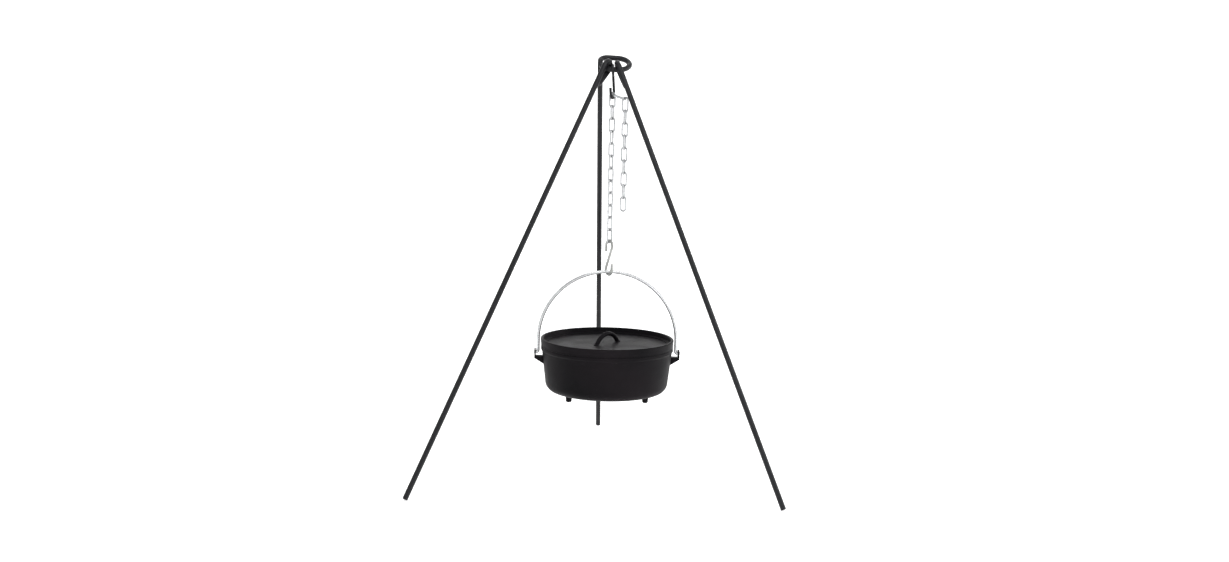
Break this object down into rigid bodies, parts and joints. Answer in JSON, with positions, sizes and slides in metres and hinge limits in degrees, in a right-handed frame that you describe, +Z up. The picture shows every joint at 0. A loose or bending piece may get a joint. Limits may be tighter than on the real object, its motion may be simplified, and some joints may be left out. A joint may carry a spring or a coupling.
{
  "type": "campfire tripod",
  "caption": "Three-legged rod tripod whose ring carries a J-hook, a chain with a loose end and an S-hook, from which a lidded cast-iron camp oven hangs by its bail.",
  "frame": {"origin": "centre of the whole object's footprint box, on the ground", "axes": "+Z up, +X to the right and -Y towards a viewer who has one leg at the back and two in front"},
  "size_m": [0.8708, 0.8217, 1.0135],
  "materials": {
    "black_steel": "satin black paint on round bar",
    "zinc_chain": "bright zinc plate",
    "zinc_wire": "dull zinc plate",
    "bail_wire": "drawn steel wire",
    "cast_iron": "seasoned, fine sand-cast grain"
  },
  "bodies": {
    "back_leg": {"back_leg_with_ring": "black_steel"},
    "left_leg": {"left_leg": "black_steel"},
    "right_leg": {"right_leg": "black_steel"},
    "j_hook": {"j_hook": "black_steel"},
    "main_link_01": {"main_link_01": "zinc_chain"},
    "main_link_02": {"main_link_02": "zinc_chain"},
    "main_link_03": {"main_link_03": "zinc_chain"},
    "main_link_04": {"main_link_04": "zinc_chain"},
    "main_link_05": {"main_link_05": "zinc_chain"},
    "main_link_06": {"main_link_06": "zinc_chain"},
    "main_link_07": {"main_link_07": "zinc_chain"},
    "main_link_08": {"main_link_08": "zinc_chain"},
    "main_link_09": {"main_link_09": "zinc_chain"},
    "main_link_10": {"main_link_10": "zinc_chain"},
    "main_link_11": {"main_link_11": "zinc_chain"},
    "main_link_12": {"main_link_12": "zinc_chain"},
    "spare_link_01": {"spare_link_01": "zinc_chain"},
    "spare_link_02": {"spare_link_02": "zinc_chain"},
    "spare_link_03": {"spare_link_03": "zinc_chain"},
    "spare_link_04": {"spare_link_04": "zinc_chain"},
    "spare_link_05": {"spare_link_05": "zinc_chain"},
    "spare_link_06": {"spare_link_06": "zinc_chain"},
    "spare_link_07": {"spare_link_07": "zinc_chain"},
    "spare_link_08": {"spare_link_08": "zinc_chain"},
    "spare_link_09": {"spare_link_09": "zinc_chain"},
    "spare_link_10": {"spare_link_10": "zinc_chain"},
    "s_hook": {"s_hook": "zinc_wire"},
    "oven_bail": {"oven_bail": "bail_wire"},
    "oven_pot": {"oven_pot": "cast_iron"},
    "oven_lid": {"oven_lid": "cast_iron"}
  },
  "joints": [
    {"name": "left_leg_fold", "type": "hinge", "parent": "back_leg", "child": "left_leg", "pos_m": [0.00476, -0.11077, 0.98213], "axis": [0.5404, -0.8414, 0], "range_deg": [0, 8]},
    {"name": "right_leg_fold", "type": "hinge", "parent": "back_leg", "child": "right_leg", "pos_m": [0.03593, -0.11374, 0.9791], "axis": [0.5945, 0.8041, 0], "range_deg": [0, 8]},
    {"name": "j_hook_swing", "type": "hinge", "parent": "back_leg", "child": "j_hook", "pos_m": [0.01795, -0.1141, 0.9798], "axis": [1, 0, 0], "range_deg": [-8, 8]},
    {"name": "main_link_01_swing", "type": "hinge", "parent": "j_hook", "child": "main_link_01", "pos_m": [0.02094, -0.11365, 0.92035], "axis": [0.33, 0.944, 0], "range_deg": [-2.25, 2.25]},
    {"name": "main_link_02_swing", "type": "hinge", "parent": "main_link_01", "child": "main_link_02", "pos_m": [0.02094, -0.11365, 0.891], "axis": [-0.944, 0.33, 0], "range_deg": [-9, 9]},
    {"name": "main_link_03_swing", "type": "hinge", "parent": "main_link_02", "child": "main_link_03", "pos_m": [0.02094, -0.11365, 0.86165], "axis": [-0.3762, -0.9266, 0], "range_deg": [-2.84, 2.84]},
    {"name": "main_link_04_swing", "type": "hinge", "parent": "main_link_03", "child": "main_link_04", "pos_m": [0.02094, -0.11365, 0.8323], "axis": [0.9069, -0.4214, 0], "range_deg": [-9, 9]},
    {"name": "main_link_05_swing", "type": "hinge", "parent": "main_link_04", "child": "main_link_05", "pos_m": [0.02094, -0.11365, 0.80295], "axis": [0.4656, 0.885, 0], "range_deg": [-3.87, 3.87]},
    {"name": "main_link_06_swing", "type": "hinge", "parent": "main_link_05", "child": "main_link_06", "pos_m": [0.02094, -0.11365, 0.7736], "axis": [-0.8609, 0.5087, 0], "range_deg": [-9, 9]},
    {"name": "main_link_07_swing", "type": "hinge", "parent": "main_link_06", "child": "main_link_07", "pos_m": [0.02094, -0.11365, 0.74425], "axis": [-0.5506, -0.8348, 0], "range_deg": [-6.06, 6.06]},
    {"name": "main_link_08_swing", "type": "hinge", "parent": "main_link_07", "child": "main_link_08", "pos_m": [0.02094, -0.11365, 0.7149], "axis": [0.8066, -0.5911, 0], "range_deg": [-9, 9]},
    {"name": "main_link_09_swing", "type": "hinge", "parent": "main_link_08", "child": "main_link_09", "pos_m": [0.02094, -0.11365, 0.68555], "axis": [0.6301, 0.7765, 0], "range_deg": [-9, 9]},
    {"name": "main_link_10_swing", "type": "hinge", "parent": "main_link_09", "child": "main_link_10", "pos_m": [0.02094, -0.11365, 0.6562], "axis": [-0.7445, 0.6677, 0], "range_deg": [-9, 9]},
    {"name": "main_link_11_swing", "type": "hinge", "parent": "main_link_10", "child": "main_link_11", "pos_m": [0.02094, -0.11365, 0.62685], "axis": [-0.7036, -0.7106, 0], "range_deg": [-9, 9]},
    {"name": "main_link_12_swing", "type": "hinge", "parent": "main_link_11", "child": "main_link_12", "pos_m": [0.02094, -0.11365, 0.5975], "axis": [0.6751, -0.7378, 0], "range_deg": [-9, 9]},
    {"name": "spare_link_01_tilt", "type": "hinge", "parent": "j_hook", "child": "spare_link_01", "pos_m": [0.02094, -0.11365, 0.92035], "axis": [-0.33, -0.944, 0], "range_deg": [-1, 18]},
    {"name": "spare_link_02_swing", "type": "hinge", "parent": "spare_link_01", "child": "spare_link_02", "pos_m": [0.05164, -0.12438, 0.91041], "axis": [-0.33, -0.944, 0], "range_deg": [-1.91, 12]},
    {"name": "spare_link_03_swing", "type": "hinge", "parent": "spare_link_02", "child": "spare_link_03", "pos_m": [0.05164, -0.12438, 0.88106], "axis": [0.944, -0.33, 0], "range_deg": [-18, 18]},
    {"name": "spare_link_04_swing", "type": "hinge", "parent": "spare_link_03", "child": "spare_link_04", "pos_m": [0.05164, -0.12438, 0.85171], "axis": [0.33, 0.944, 0], "range_deg": [-12, 2.44]},
    {"name": "spare_link_05_swing", "type": "hinge", "parent": "spare_link_04", "child": "spare_link_05", "pos_m": [0.05164, -0.12438, 0.82236], "axis": [-0.944, 0.33, 0], "range_deg": [-18, 18]},
    {"name": "spare_link_06_swing", "type": "hinge", "parent": "spare_link_05", "child": "spare_link_06", "pos_m": [0.05164, -0.12438, 0.79301], "axis": [-0.33, -0.944, 0], "range_deg": [-3.37, 12]},
    {"name": "spare_link_07_swing", "type": "hinge", "parent": "spare_link_06", "child": "spare_link_07", "pos_m": [0.05164, -0.12438, 0.76366], "axis": [0.944, -0.33, 0], "range_deg": [-18, 18]},
    {"name": "spare_link_08_swing", "type": "hinge", "parent": "spare_link_07", "child": "spare_link_08", "pos_m": [0.05164, -0.12438, 0.73431], "axis": [0.33, 0.944, 0], "range_deg": [-12, 5.48]},
    {"name": "spare_link_09_swing", "type": "hinge", "parent": "spare_link_08", "child": "spare_link_09", "pos_m": [0.05164, -0.12438, 0.70496], "axis": [-0.944, 0.33, 0], "range_deg": [-18, 18]},
    {"name": "spare_link_10_swing", "type": "hinge", "parent": "spare_link_09", "child": "spare_link_10", "pos_m": [0.05164, -0.12438, 0.67561], "axis": [-0.33, -0.944, 0], "range_deg": [-14.64, 12]},
    {"name": "s_hook_swing", "type": "hinge", "parent": "main_link_12", "child": "s_hook", "pos_m": [0.02094, -0.11365, 0.56815], "axis": [-0.7702, -0.6378, 0], "range_deg": [-9, 9]},
    {"name": "bail_rock", "type": "hinge", "parent": "s_hook", "child": "oven_bail", "pos_m": [0.02094, -0.11365, 0.49123], "axis": [0.6388, -0.7694, 0], "range_deg": [-8, 8]},
    {"name": "oven_tip", "type": "hinge", "parent": "oven_bail", "child": "oven_pot", "pos_m": [0.02094, -0.11365, 0.301], "axis": [0.9986, 0.0523, 0], "range_deg": [-80, 80]},
    {"name": "lid_lift", "type": "slide", "parent": "oven_pot", "child": "oven_lid", "axis": [0, 0, 1], "range_m": [0, 0.018]}
  ]
}
